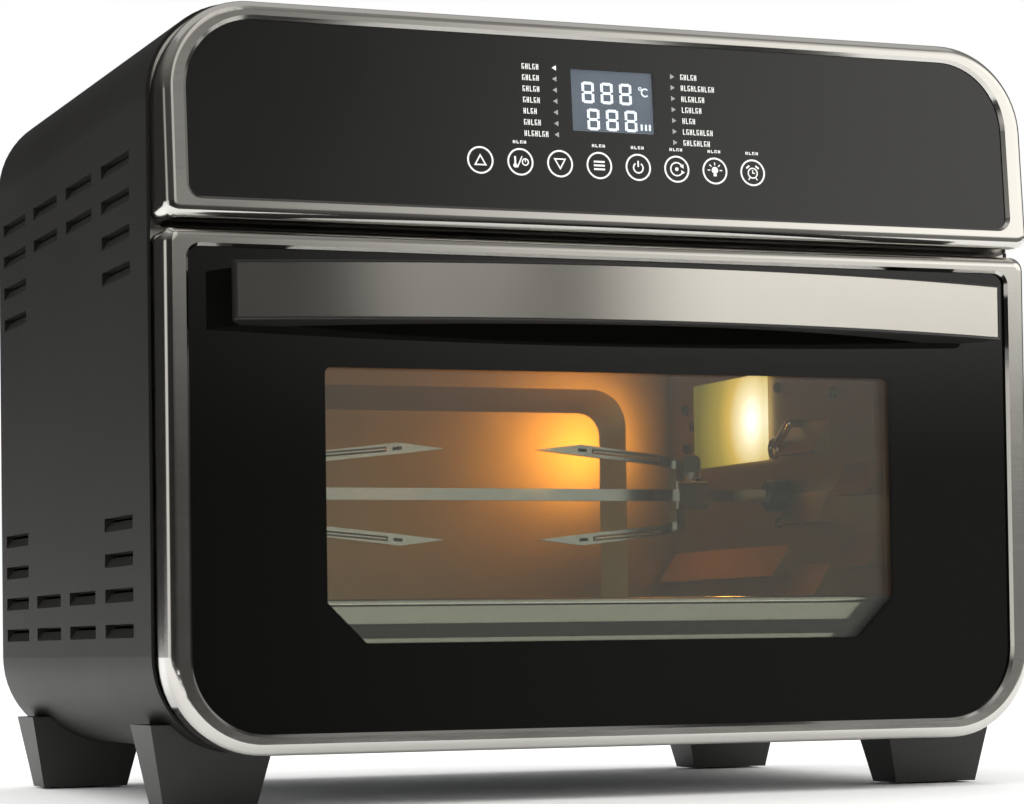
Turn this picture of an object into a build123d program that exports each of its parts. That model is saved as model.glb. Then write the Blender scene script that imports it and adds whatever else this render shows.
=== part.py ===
from build123d import *
import os
from math import cos, radians, sin

# Countertop air fryer oven. Millimetres: X is across, Y runs from front to back, Z is up.
# The origin is on the floor, under the middle of the whole object.

# Driving dimensions
FACE = -133.0            # y of the door's front plane; every depth below is counted back from it
SHEET = 1.2              # folded steel sheet
CASE_HALF = 198.0        # half the width over the case
CASE_LOW = 22.0          # underside of the case
CASE_TOP = 327.5
CASE_RADIUS = 40.0       # long edges of the wrapped case
CASE_FRONT = 19.0        # depth of the case's front edge
CASE_REAR = 297.0
DOOR_HALF = 196.5
DOOR_LOW = 21.5
DOOR_TOP = 233.0
DOOR_DEPTH = 15.0        # thickness of the door frame
FRAME_FRONT = 19.5       # depth of the pressed front frame
WALL_FRONT = FRAME_FRONT + SHEET
CAVITY_HALF = 150.0
CAVITY_LOW = 46.0
CAVITY_TOP = 228.0
CAVITY_REAR = 283.0
SILL = 83.0              # lower edge of the cavity's front opening
OPENING_TOP = 222.0
PANEL_TILT = 4.5         # degrees that the control panel leans back
PANEL_LOW = 236.5        # lower edge of the control bezel
PANEL_STEP = -4.0        # how far that edge stands in front of the door
SPIT_DEPTH = 151.0
SPIT_HEIGHT = 134.4
HINGE_DEPTH = 10.5       # door pivot
HINGE_HEIGHT = 27.5
FAN_DEPTH = 151.0
SHAFT_RADIUS = 3.0
RUNNING = 0.05           # radial clearance of a shaft in its bore
SCREW_BORE = 1.55        # clears the 3 mm screws
FOOT_BORE = 2.05         # clears the 4 mm foot screws
GLASS_FRONT = 2.6        # depth of the door glass's face
GLASS_THICK = 3.9

BASE = (Align.CENTER, Align.CENTER, Align.MIN)

parts = {}


def at(depth):
    """The y of a plane that lies this far behind the door's face."""
    return FACE + depth


def block(across, depth, height):
    """A box between two x, two depths and two heights."""
    middle = Pos(sum(across) / 2, at(sum(depth) / 2), sum(height) / 2)
    return middle * Box(across[1] - across[0], depth[1] - depth[0], height[1] - height[0])


def rounded(half, low, high, top_radius, low_radius):
    """A front-facing rectangle with its own radius at the top and at the bottom corners."""
    face = Pos(0, (low + high) / 2) * Rectangle(2 * half, high - low)
    face = fillet(face.vertices().group_by(Axis.Y)[-1], top_radius)
    return fillet(face.vertices().group_by(Axis.Y)[0], low_radius)


def slab(face, front, back):
    """A front-facing outline given thickness between two depths."""
    plane = Plane(origin=(0, at(back), 0), x_dir=(1, 0, 0), z_dir=(0, -1, 0))
    return extrude(plane * face, back - front)


def rod(start, end, radius):
    """A round bar between two points given as x, depth, height."""
    first = Vector(start[0], at(start[1]), start[2])
    last = Vector(end[0], at(end[1]), end[2])
    along = last - first
    return Plane(origin=first, z_dir=along) * Cylinder(radius, along.length, align=BASE)


def tube(start, end, outer, inner):
    return rod(start, end, outer) - rod(start, end, inner)


def side_profile(points, low, high):
    """An outline of (depth, height) points, extruded across from one x to another."""
    plane = Plane(origin=(low, 0, 0), x_dir=(0, 1, 0), z_dir=(1, 0, 0))
    outline = Polyline([(at(depth), height) for depth, height in points], close=True)
    return extrude(plane * make_face(outline), high - low)


def front_profile(points, front, back):
    """An outline of (x, height) points, given thickness between two depths."""
    return slab(make_face(Polyline(points, close=True)), front, back)


def mirrored(shape):
    return mirror(shape, about=Plane.YZ)


def pair(shape):
    return [shape, mirrored(shape)]


def group(shapes):
    """Separate solids of one node."""
    return Compound(children=[solid for shape in shapes for solid in shape.solids()])


def screw(x, depth, height, toward, head=3.2, shank=1.5, length=8.0):
    """A pan head screw whose head sits on the given point; toward is the way it is driven."""
    head_height, crown, slot_wide, slot_deep = 1.8, 0.9, 0.7, 0.8
    cap = fillet(Cylinder(head, head_height, align=BASE).edges().sort_by(Axis.Z)[-1], crown)
    cross = Box(head, slot_wide, 2 * slot_deep) + Box(slot_wide, head, 2 * slot_deep)
    body = cap - Pos(0, 0, head_height) * cross + Pos(0, 0, -length) * Cylinder(shank, length, align=BASE)
    return Plane(origin=(x, at(depth), height), z_dir=-Vector(toward)) * body


def drill(points, toward, radius, length):
    """Holes from (x, depth, height) points; each starts a little before its point."""
    holes = []
    for x, depth, height in points:
        start = (x - toward[0], depth - toward[1], height - toward[2])
        end = tuple(value + length * step for value, step in zip((x, depth, height), toward))
        holes.append(rod(start, end, radius))
    return holes


# ---------------------------------------------------------------- case, base and rear

LOUVRE_LENGTH = 47.0
LOUVRE_HEIGHT = 5.8
LOUVRE_DEPTH = 3.2
LOUVRE_COLUMNS = [46.5, 110.8, 175.1, 239.4]
UPPER_ROWS = [270.0, 254.9, 239.7, 224.5]
LOWER_ROWS = [120.3, 105.3, 90.4, 75.5]
REAR_SCREWS = [(sign * x, z) for sign in (-1, 1)
               for x, z in ((190.5, 110), (190.5, 240), (90, 320.3), (90, 29.2))]
BASE_SCREWS = [(sign * 138.0, depth) for sign in (-1, 1) for depth in (72.0, 160.0, 240.0)]
FOOT_DEPTHS = (50.0, 264.0)
FOOT_SCREW_X = 153.0
FOOT_HOLES = [(sign * FOOT_SCREW_X, depth, CASE_LOW) for sign in (-1, 1) for depth in FOOT_DEPTHS]
BASE_HOLES = [(x, depth, CASE_LOW) for x, depth in BASE_SCREWS]
GLAND = (120.0, 60.0)    # x and height of the cord entry
GLAND_BORE = 3.6


def louvre_places():
    """(depth, top edge) of every louvre: an arch of them above and a trough of them below."""
    ends = (0, len(LOUVRE_COLUMNS) - 1)
    for column, depth in enumerate(LOUVRE_COLUMNS):
        for row in range(4):
            if row < 2 or column in ends:
                yield depth, UPPER_ROWS[row]
            if row >= 2 or column in ends:
                yield depth, LOWER_ROWS[row]


def louvre(depth, top):
    """The pressed-in pan, the hollow in front of it and the slot at its top, on the left side."""
    skin = CASE_HALF - SHEET
    inner = CASE_HALF - LOUVRE_DEPTH
    low = top - LOUVRE_HEIGHT
    wide = (depth, depth + LOUVRE_LENGTH)
    edge = 0.8
    hollow = [(-CASE_HALF - 1, top), (-CASE_HALF - 1, low), (-CASE_HALF, low), (-inner, top)]
    pan = [(-skin - 0.4, top + edge), (-skin - 0.4, low), (-skin, low - edge),
           (-inner + SHEET, top - edge), (-inner + SHEET, top + edge)]
    slot = block((-inner - 1, -inner + SHEET + 1), (wide[0] + 3, wide[1] - 3), (top - 2.2, top - 0.6))
    return (front_profile(pan, wide[0] - edge, wide[1] + edge), front_profile(hollow, *wide), slot)


def make_case():
    outline = rounded(CASE_HALF, CASE_LOW, CASE_TOP, CASE_RADIUS, CASE_RADIUS)
    inner_radius = CASE_RADIUS - SHEET
    bore = rounded(CASE_HALF - SHEET, CASE_LOW + SHEET, CASE_TOP - SHEET, inner_radius, inner_radius)
    flange = 14.0
    mouth = rounded(CASE_HALF - flange, CASE_LOW + flange, CASE_TOP - flange, CASE_RADIUS - flange,
                    CASE_RADIUS - flange)
    shell = slab(outline, CASE_FRONT, CASE_REAR) - slab(bore, CASE_FRONT - 1, CASE_REAR - SHEET)
    shell -= slab(mouth, CASE_REAR - 3 * SHEET, CASE_REAR + 1)
    shell -= block((-130, 130), (36, 282), (CASE_LOW - 1, CASE_LOW + SHEET + 1))
    louvres = [louvre(depth, top) for depth, top in louvre_places()]
    pans, hollows, slots = ([piece for shape in kind for piece in pair(shape)] for kind in zip(*louvres))
    shell = shell + pans - hollows - slots
    shell -= drill(FOOT_HOLES, (0, 0, 1), FOOT_BORE, 4)
    shell -= drill(BASE_HOLES, (0, 0, 1), SCREW_BORE, 4)
    shell -= drill([(x, CASE_REAR - 4, z) for x, z in REAR_SCREWS], (0, 1, 0), SCREW_BORE, 6)
    parts["outer_case"] = shell

    pan = block((-156, 156), (24, 293), (CASE_LOW + SHEET, CASE_LOW + 2 * SHEET))
    slots = [block((x - 22, x + 22), (depth - 2, depth + 2), (20, 26))
             for x in (-75, 0, 75) for depth in range(110, 211, 20)]
    pan -= slots + drill(FOOT_HOLES, (0, 0, 1), FOOT_BORE, 4) + drill(BASE_HOLES, (0, 0, 1), SCREW_BORE, 4)
    parts["base_pan"] = pan
    parts["case_screws"] = group([screw(*hole, (0, 0, 1)) for hole in BASE_HOLES])


def make_rear_cover():
    edge = 0.5
    radius = CASE_RADIUS - edge
    cover = slab(rounded(CASE_HALF - edge, CASE_LOW + edge, CASE_TOP - edge, radius, radius),
                 CASE_REAR, CASE_REAR + SHEET)
    bulge_half, bulge_low, bulge_high, bulge_depth, corner = 150.0, 72.0, 300.0, 15.0, 14.0
    cover += slab(rounded(bulge_half, bulge_low, bulge_high, corner, corner), CASE_REAR,
                  CASE_REAR + bulge_depth)
    hollow = rounded(bulge_half - SHEET, bulge_low + SHEET, bulge_high - SHEET, corner - SHEET,
                     corner - SHEET)
    cover -= slab(hollow, CASE_REAR - 1, CASE_REAR + bulge_depth - SHEET)
    vents = [block((x - 2, x + 2), (CASE_REAR + 5, CASE_REAR + 20), (low, low + 34))
             for x in range(-108, 109, 12) for low in (100, 235)]
    cover -= vents + drill([(x, CASE_REAR - 1, z) for x, z in REAR_SCREWS], (0, 1, 0), SCREW_BORE, 6)
    outside = CASE_REAR + SHEET
    parts["rear_screws"] = group([screw(x, outside, z, (0, -1, 0)) for x, z in REAR_SCREWS])

    def collar(front, back, radius):
        return rod((GLAND[0], front, GLAND[1]), (GLAND[0], back, GLAND[1]), radius)

    neck, clear = 7.0, 0.1
    parts["rear_cover"] = cover - collar(CASE_REAR - 2, CASE_REAR + 4, neck + clear)
    gland = collar(CASE_REAR - 5, outside + clear, neck) + collar(outside, outside + 3, 10.0)
    gland += [collar(outside + 3, outside + 12, 6.5), collar(CASE_REAR - 7, CASE_REAR - 0.2, 9.0)]
    parts["cord_gland"] = gland - collar(CASE_REAR - 8, outside + 13, GLAND_BORE)


def foot(depth):
    """A tapered block that hugs the rounded lower edge of the case, on the left."""
    middle, head_room = -168.5, 14.0
    sole = Pos(middle, at(depth), 0.8) * Rectangle(40, 22)
    shoulder = Pos(middle + 0.9, at(depth), 34.0) * Rectangle(54.6, 33)
    body = loft([sole.faces()[0], shoulder.faces()[0]])
    outline = rounded(CASE_HALF, CASE_LOW, CASE_TOP, CASE_RADIUS, CASE_RADIUS)
    pad = rod((middle, depth, 0), (middle, depth, 3.0), 8.0)
    well = rod((-FOOT_SCREW_X, depth, -1), (-FOOT_SCREW_X, depth, head_room), 4.2)
    bore = rod((-FOOT_SCREW_X, depth, head_room - 4), (-FOOT_SCREW_X, depth, 30), FOOT_BORE)
    body -= [slab(outline, CASE_FRONT, CASE_REAR), pad, well, bore]
    return body, pad, screw(-FOOT_SCREW_X, depth, head_room, (0, 0, 1), head=4.0, shank=2.0, length=14.0)


def make_feet():
    pads, screws = [], []
    for end, depth in zip(("front", "rear"), FOOT_DEPTHS):
        body, pad, fixing = foot(depth)
        parts[f"foot_{end}_left"] = body
        parts[f"foot_{end}_right"] = mirrored(body)
        pads += pair(pad)
        screws += pair(fixing)
    parts["foot_pads"] = group(pads)
    parts["foot_screws"] = group(screws)


# ---------------------------------------------------------------- front frame and controls

ARM_X = (163.0, 165.0)
TRAY_SLOT = (47.0, 57.6)
EAR_X = (152.0, 155.0)


def make_front_frame():
    edge = SHEET + 0.3
    radius = CASE_RADIUS - edge
    outline = rounded(CASE_HALF - edge, CASE_LOW + edge, CASE_TOP - edge, radius, radius)
    frame = slab(outline, FRAME_FRONT, WALL_FRONT)
    through = (FRAME_FRONT - 1, WALL_FRONT + 1)
    frame -= slab(rounded(CAVITY_HALF, SILL, OPENING_TOP, 6, 3), *through)
    frame -= block((-148, 148), through, TRAY_SLOT)
    frame -= pair(block((ARM_X[0] - 3.2, ARM_X[1] + 1.5), through, (58, 86)))
    frame -= pair(block((EAR_X[0] - 0.4, EAR_X[1] + 0.4), through, (20, 33)))
    frame -= block((-40, 40), through, (262, 300))
    lip = (FRAME_FRONT + 0.6, SILL - 0.4)
    parts["front_frame"] = frame + rod((1 - CAVITY_HALF, *lip), (CAVITY_HALF - 1, *lip), 1.6)


PANEL = Plane(origin=(0, at(PANEL_STEP), PANEL_LOW), x_dir=(1, 0, 0),
              z_dir=(0, -cos(radians(PANEL_TILT)), sin(radians(PANEL_TILT))))


def panel_slab(face, front, back):
    """An outline on the leaning panel; front and back are distances behind its face."""
    return extrude(PANEL.offset(-back) * face, back - front)


def make_controls():
    height = 90.0
    behind = block((-400, 400), (-40, FRAME_FRONT - 0.2), (0, 500))
    outer = panel_slab(rounded(CASE_HALF - 1.7, 0, height, 38.3, 6.0), 0, 40) & behind
    front_rim = outer.faces().sort_by(Axis.Y)[0].edges()
    outer = fillet(front_rim, 4.6)
    inner = panel_slab(rounded(186, 8.5, 82, 29.5, 5), -1, 41)
    glass_seat = panel_slab(rounded(189.2, 5.3, 85.2, 32.5, 4.5), 2.0, 41)
    ramp = loft([(PANEL.offset(0.01) * rounded(187.4, 7.1, 83.4, 30.9, 6.4)).faces()[0],
                 (PANEL.offset(-1.6) * rounded(186, 8.5, 82, 29.5, 5)).faces()[0]])
    parts["control_bezel"] = outer - inner - glass_seat - ramp
    parts["control_glass"] = panel_slab(rounded(189, 5.5, 85, 32.3, 4.3), 2.1, 6.0)

    wall = 1.6
    tray = panel_slab(rounded(182, 9.5, 81, 28, 4), 6.1, 40) & behind
    inside = block((-400, 400), (-40, FRAME_FRONT - 0.2 - wall), (0, 500))
    tray -= panel_slab(rounded(182 - wall, 9.5 + wall, 81 - wall, 26, 3), 5, 40) & inside
    tray -= block((-38, 38), (10, 21), (264, 298))
    parts["control_housing"] = tray
    board = panel_slab(rounded(110, 16, 74, 3, 3), 12.0, 13.4)
    chips = [panel_slab(Pos(x, 62) * Rectangle(14, 10), 11.0, 12.0) for x in (-80, -52, 52, 80)]
    parts["control_board"] = board + chips
    parts["display_module"] = panel_slab(Pos(0, 56) * Rectangle(46, 30), 6.2, 11.9)


# ---------------------------------------------------------------- cavity

LAMP_DEPTHS = (167.5, 246.5)
LAMP_HEIGHTS = (153.0, 195.0)
LUGS = [((103, 140), (153, 168)), ((103, 140), (120, 135)), ((103, 140), (86, 101)),
        ((50, 86), (131, 146)), ((50, 86), (98, 113)), ((146, 278), (96, 111))]
LUG_REACH = 10.0
WALL_SCREWS = [(156, 187), (98.6, 180), (262.7, 184), (253.2, 175), (262.2, 164.3), (249.4, 146.1),
               (157.1, 122)]
PROBE = (131.0, 168.0)   # depth and height where the sensor leaves the wall
LOWER_RODS = (92.0, 214.0)
LOWER_ROD_HEIGHT = 72.0
ROD_RADIUS = 3.2
POT_RADIUS = 86.0
POT_TOP = 258.0


def lug(depths, heights):
    """A rack lug pressed into the left wall: flat underneath, sloping back to the wall above."""
    low, high = heights
    face = -CAVITY_HALF
    shape = [(face - SHEET, low), (face + LUG_REACH, low), (face, high), (face - SHEET, high)]
    back = [(face - SHEET - 1, low - 1), (face + LUG_REACH - 2 * SHEET, low - 1),
            (face - SHEET, high - 2), (face - SHEET - 1, high - 2)]
    hollow = front_profile(back, depths[0] + SHEET, depths[1] - SHEET)
    return front_profile(shape, *depths), hollow & block((-200, 0), depths, (low + SHEET, high))


def make_walls():
    wall = block((-CAVITY_HALF - SHEET, -CAVITY_HALF), (WALL_FRONT, CAVITY_REAR),
                 (CAVITY_LOW, CAVITY_TOP))
    pressed = [lug(depths, heights) for depths, heights in LUGS]
    wall = wall + [shape for shape, _ in pressed] - [hollow for _, hollow in pressed]
    element_holes = [(-CAVITY_HALF - 3, depth, LOWER_ROD_HEIGHT) for depth in LOWER_RODS]
    wall -= drill(element_holes, (1, 0, 0), ROD_RADIUS + 0.3, 8)
    right = mirrored(wall)
    spit_line = [(x, SPIT_DEPTH, SPIT_HEIGHT) for x in (-160, -140, 140, 160)]
    parts["cavity_left_wall"] = wall - rod(*spit_line[:2], 6.1)

    window = [(low + 4.0, high - 4.0) for low, high in (LAMP_DEPTHS, LAMP_HEIGHTS)]
    right -= [rod(*spit_line[2:], 8.5), block((140, 160), *window), rod((140, *PROBE), (160, *PROBE), 2.3)]
    right -= drill([(CAVITY_HALF + 3, depth, z) for depth, z in WALL_SCREWS], (-1, 0, 0), SCREW_BORE, 5)
    parts["cavity_right_wall"] = right
    parts["wall_screws"] = group([screw(CAVITY_HALF, depth, z, (1, 0, 0), head=2.6, length=6)
                                  for depth, z in WALL_SCREWS])

    floor = block((-CAVITY_HALF - SHEET, CAVITY_HALF + SHEET), (WALL_FRONT, CAVITY_REAR),
                  (CAVITY_LOW - SHEET, CAVITY_LOW))
    runners = pair(block((-140, -134), (WALL_FRONT + 2, CAVITY_REAR - 4), (CAVITY_LOW, CAVITY_LOW + 1.6)))
    parts["cavity_floor"] = floor + runners

    back = block((-CAVITY_HALF - SHEET, CAVITY_HALF + SHEET), (CAVITY_REAR, CAVITY_REAR + SHEET),
                 (CAVITY_LOW - SHEET, CAVITY_TOP + SHEET))
    step = 6.0

    def frustum(grow, shift):
        near = rounded(125 + grow, 58 - grow, 196 + grow, 19 + grow, 19 + grow)
        far = rounded(112.5 + grow, 70 - grow, 184 + grow, 12 + grow, 12 + grow)
        planes = [Plane(origin=(0, at(CAVITY_REAR + depth + shift), 0), x_dir=(1, 0, 0), z_dir=(0, -1, 0))
                  for depth in (0, step)]
        return loft([(planes[0] * near).faces()[0], (planes[1] * far).faces()[0]])

    parts["cavity_back"] = back + frustum(0.9, SHEET) - frustum(0, 0)

    lid = block((-CAVITY_HALF - SHEET, CAVITY_HALF + SHEET), (WALL_FRONT, CAVITY_REAR),
                (CAVITY_TOP, CAVITY_TOP + SHEET))
    lid -= rod((0, FAN_DEPTH, CAVITY_TOP - 1), (0, FAN_DEPTH, CAVITY_TOP + 3), POT_RADIUS - SHEET)
    lid += tube((0, FAN_DEPTH, CAVITY_TOP), (0, FAN_DEPTH, POT_TOP), POT_RADIUS, POT_RADIUS - SHEET)
    lid += rod((0, FAN_DEPTH, POT_TOP - SHEET), (0, FAN_DEPTH, POT_TOP), POT_RADIUS)
    lid -= rod((0, FAN_DEPTH, POT_TOP - 3), (0, FAN_DEPTH, POT_TOP + 1), 6.0)
    terminals = [(x, FAN_DEPTH + POT_RADIUS - 6, 242.0) for x in (-9, 9)]
    lid -= drill(terminals, (0, 1, 0), ROD_RADIUS + 0.4, 10)
    parts["cavity_ceiling"] = lid


def make_lamp():
    parts["lamp_glass"] = block((CAVITY_HALF - 3.0, CAVITY_HALF), LAMP_DEPTHS, LAMP_HEIGHTS)
    outside, deep, middle = CAVITY_HALF + SHEET, 28.0, 174.0
    front, back, half = 172.0, 242.0, 16.0
    globe, cap, tip = 9.0, 8.0, 196.0
    axis = outside + deep / 2
    shell = block((outside, outside + deep), (front, back), (middle - half, middle + half))
    shell -= block((outside - 1, outside + deep - SHEET), (front + SHEET, back - SHEET),
                   (middle - half + SHEET, middle + half - SHEET))
    parts["lamp_housing"] = shell - rod((axis, back - 4, middle), (axis, back + 4, middle), cap + 0.2)
    bulb = rod((axis, tip, middle), (axis, tip + 32, middle), globe)
    bulb += Pos(axis, at(tip), middle) * Sphere(globe)
    parts["lamp_bulb"] = bulb + rod((axis, tip + 31, middle), (axis, back + 4, middle), cap)


def make_probe():
    """A capillary sensor bulb that stands out of the right wall and is held by a wire clip."""
    radius, bend = 2.0, CAVITY_HALF - 7
    stem = rod((CAVITY_HALF + 8, *PROBE), (bend, *PROBE), radius)
    stem += rod((bend, *PROBE), (bend, PROBE[0] + 15, PROBE[1] - 10), radius)
    stem += Pos(bend, at(PROBE[0]), PROBE[1]) * Sphere(radius)
    loop = Pos(bend, at(PROBE[0] + 16.5), PROBE[1] - 11) * Rot(0, 90, 0) * Torus(4.2, 1.2)
    parts["temperature_probe"] = stem + loop


def make_heaters():
    ring_radius, height = 76.0, 242.0
    ring = Pos(0, at(FAN_DEPTH), height) * Torus(ring_radius, ROD_RADIUS)
    gap = block((-9, 9), (FAN_DEPTH + 60, FAN_DEPTH + 90), (height - 5, height + 5))
    start = FAN_DEPTH + (ring_radius ** 2 - 9 ** 2) ** 0.5
    tail = rod((-9, start - 1, height), (-9, FAN_DEPTH + POT_RADIUS + 12, height), ROD_RADIUS - 0.2)
    parts["upper_element"] = ring - gap + pair(tail)
    rods = [rod((-158, depth, LOWER_ROD_HEIGHT), (158, depth, LOWER_ROD_HEIGHT), ROD_RADIUS)
            for depth in LOWER_RODS]
    parts["lower_elements"] = group(rods)

    guard = rod((0, FAN_DEPTH, CAVITY_TOP - SHEET), (0, FAN_DEPTH, CAVITY_TOP), POT_RADIUS + 6)
    rings = ((24.0, 40.0, 12), (45.0, 61.0, 24), (65.0, 80.0, 24))
    centre = Pos(0, at(FAN_DEPTH), CAVITY_TOP)
    for near, far, count in rings:
        slot = Pos((near + far) / 2, 0, 0) * Box(far - near, 4.2, 8)
        guard -= [centre * Rot(0, 0, 360 * turn / count) * slot for turn in range(count)]
    parts["fan_guard"] = guard


def make_crumb_tray():
    low, high, half = 48.0, 56.0, 145.0
    depth = (FRAME_FRONT - 0.2, 277.0)
    tray = block((-half, half), depth, (low, high))
    tray -= block((-half + 1, half - 1), (depth[0] - 2, depth[1] - 1), (low + 1, high + 1))
    lip_front = FRAME_FRONT - 3.2
    lip = block((-150, 150), (lip_front, FRAME_FRONT - 0.2), (46.2, 59.0))
    lip = fillet(lip.edges().filter_by(Axis.X).sort_by(Axis.Y)[:2], 1.2)
    lip -= block((-26, 26), (lip_front - 1, lip_front + 1.2), (49, 54))
    parts["crumb_tray"] = tray + lip


# ---------------------------------------------------------------- door

ARM_PIVOT = (16.8, 78.0)
ARM_LENGTH = 84.0
ARM_ANGLE = -30.0
PIN_RADIUS = 1.5
WINDOW = (66.1, 178.3)
HANDLE_HALF = 172.5
HANDLE_LOW = 194.1
HANDLE_HIGH = 217.7
HANDLE_REACH = 46.0      # how far its middle stands in front of the door's face
HANDLE_ENDS = 18.0       # the same at its two ends
HANDLE_SCREWS = [(sign * 149.0, 207.0) for sign in (-1, 1)]


def make_door():
    bar = 10.5
    frame = slab(rounded(DOOR_HALF, DOOR_LOW, DOOR_TOP, 6, CASE_RADIUS), 0, DOOR_DEPTH)
    frame = fillet(frame.faces().sort_by(Axis.Y)[0].edges(), 4.6)
    opening = (DOOR_HALF - bar, DOOR_LOW + 8.6, DOOR_TOP - 7.6)
    frame -= slab(rounded(*opening, 5, 31), -1, DOOR_DEPTH + 1)
    frame -= slab(rounded(191.5, 25.5, 229.5, 4, 35.5), 2.5, DOOR_DEPTH + 1)
    half, low, high = opening
    front = Plane(origin=(0, at(-0.01), 0), x_dir=(1, 0, 0), z_dir=(0, -1, 0))
    inward = Plane(origin=(0, at(1.4), 0), x_dir=(1, 0, 0), z_dir=(0, -1, 0))
    frame -= loft([(front * rounded(half + 1.2, low - 1.2, high + 1.2, 6.2, 32.2)).faces()[0],
                   (inward * rounded(half, low, high, 5, 31)).faces()[0]])
    notch = pair(block((EAR_X[0] - 1.4, EAR_X[1] + 1.4), (6.3, DOOR_DEPTH + 1), (15, 31.9)))
    cheeks = pair(block((EAR_X[0] - 6, EAR_X[1] + 6), (6.9, 14.4), (25.2, 32.0)))
    pin_line = [(x, HINGE_DEPTH, HINGE_HEIGHT) for x in (EAR_X[0] - 5.5, EAR_X[1] + 5.5)]
    parts["door_frame"] = frame + cheeks - notch - pair(rod(*pin_line, PIN_RADIUS + 0.02))
    parts["hinge_pins"] = group(pair(rod(*pin_line, PIN_RADIUS)))

    handle_holes = drill([(x, 0, z) for x, z in HANDLE_SCREWS], (0, 1, 0), 1.6, 20)
    glass = slab(rounded(191.2, 25.8, 229.2, 3.8, 35.3), GLASS_FRONT, GLASS_FRONT + GLASS_THICK)
    parts["door_glass"] = glass - handle_holes

    pan_front, pan_back = 6.8, 14.5
    pane = (139.0, 65.5, 185.0)
    pan = slab(rounded(191.0, 26.0, 229.0, 4, 35), pan_front, pan_back)
    pan -= slab(rounded(191.0 - SHEET, 26.0 + SHEET, 229.0 - SHEET, 3, 34), pan_front - 1, pan_back - SHEET)
    rim = slab(rounded(pane[0] + SHEET, pane[1] - SHEET, pane[2] + SHEET, 8, 8), 12.6, pan_back)
    pan = pan + rim - slab(rounded(*pane, 7, 7), 0, 20)
    trough_half, trough = 153.0, (44.4, 60.6)
    shell = block((-trough_half - SHEET, trough_half + SHEET), (pan_front, pan_back),
                  (trough[0] - SHEET, trough[1] + SHEET))
    pan = pan + shell - block((-trough_half, trough_half), (pan_front + SHEET, pan_back + 1), trough)
    pan -= pair(block((EAR_X[0] - 7, EAR_X[1] + 7), (5, 16), (20, 32.6)))
    tab_x = (ARM_X[0] - 2.4, ARM_X[0] - 0.3)
    tabs = pair(side_profile([(13.4, 68), (19.0, 73), (19.2, 82.5), (13.4, 86)], -tab_x[1], -tab_x[0]))
    pin_bore = rod((-tab_x[1] - 1, *ARM_PIVOT), (-tab_x[0] + 1, *ARM_PIVOT), PIN_RADIUS + RUNNING)
    arm_slots = pair(block((ARM_X[0] - 0.3, ARM_X[1] + 0.8), (12, 16), (70, 85)))
    parts["door_inner_frame"] = pan + tabs - pair(pin_bore) - handle_holes - arm_slots
    parts["door_inner_glass"] = slab(rounded(146, 62.2, 191, 4, 2), 9.2, 12.5)
    ring = slab(rounded(159, 68, 228, 14, 14), pan_back, 19.0)
    parts["door_seal"] = ring - slab(rounded(153, 74, 222.5, 8, 8), pan_back - 1, 20)


BOW_RISE = HANDLE_REACH - HANDLE_ENDS
BOW_RADIUS = (HANDLE_HALF ** 2 + BOW_RISE ** 2) / (2 * BOW_RISE)


def bow_arc(half, behind):
    """The handle's front curve from -half to half, set back by `behind`."""
    ends = BOW_RADIUS - HANDLE_REACH + behind - (BOW_RADIUS ** 2 - half ** 2) ** 0.5
    return ThreePointArc((-half, at(ends)), (0, at(behind - HANDLE_REACH)), (half, at(ends)))


def upright(face, low, high):
    """A flat outline seen from above, given height."""
    return Pos(0, 0, low) * extrude(face, high - low, dir=(0, 0, 1))


def bowed_strip(half, front, back, low, high):
    """The part of the bow between two setbacks, cut off square at both ends."""
    near, far = bow_arc(half, front), bow_arc(half, back)
    ends = [Line(near @ 0, far @ 0), Line(near @ 1, far @ 1)]
    return upright(make_face([near, far, *ends]), low, high)


def make_handle():
    """A bowed grip: plastic core with a steel strip let into its front, screwed through the glass."""
    post, grip, soft = (144.0, 164.5), 11.0, 0.5
    sunk, strip_thick, border = 0.3, 1.2, 1.0
    right = [(HANDLE_HALF, -HANDLE_ENDS), (HANDLE_HALF, 4.0 - HANDLE_ENDS), (post[1], GLASS_FRONT),
             (post[0], GLASS_FRONT)]
    sides = [Polyline([(sign * x, at(depth)) for x, depth in right]) for sign in (-1, 1)]
    hollow = ThreePointArc((-post[0], at(GLASS_FRONT)), (0, at(grip - HANDLE_REACH)),
                           (post[0], at(GLASS_FRONT)))
    core = upright(make_face([bow_arc(HANDLE_HALF, 0), hollow, *sides]), HANDLE_LOW, HANDLE_HIGH)
    core = chamfer(core.edges().filter_by(GeomType.CIRCLE), soft)
    half, behind = HANDLE_HALF - border, sunk + strip_thick
    low, high = HANDLE_LOW + border, HANDLE_HIGH - border
    screw_holes = drill([(x, 0, z) for x, z in HANDLE_SCREWS], (0, 1, 0), SCREW_BORE, 8)
    parts["handle_body"] = core - bowed_strip(half, -1, behind, low, high) - screw_holes
    parts["handle_face"] = bowed_strip(half, sunk, behind, low, high)
    parts["handle_screws"] = group([screw(x, 14.5, z, (0, -1, 0), length=15.0) for x, z in HANDLE_SCREWS])


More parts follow.
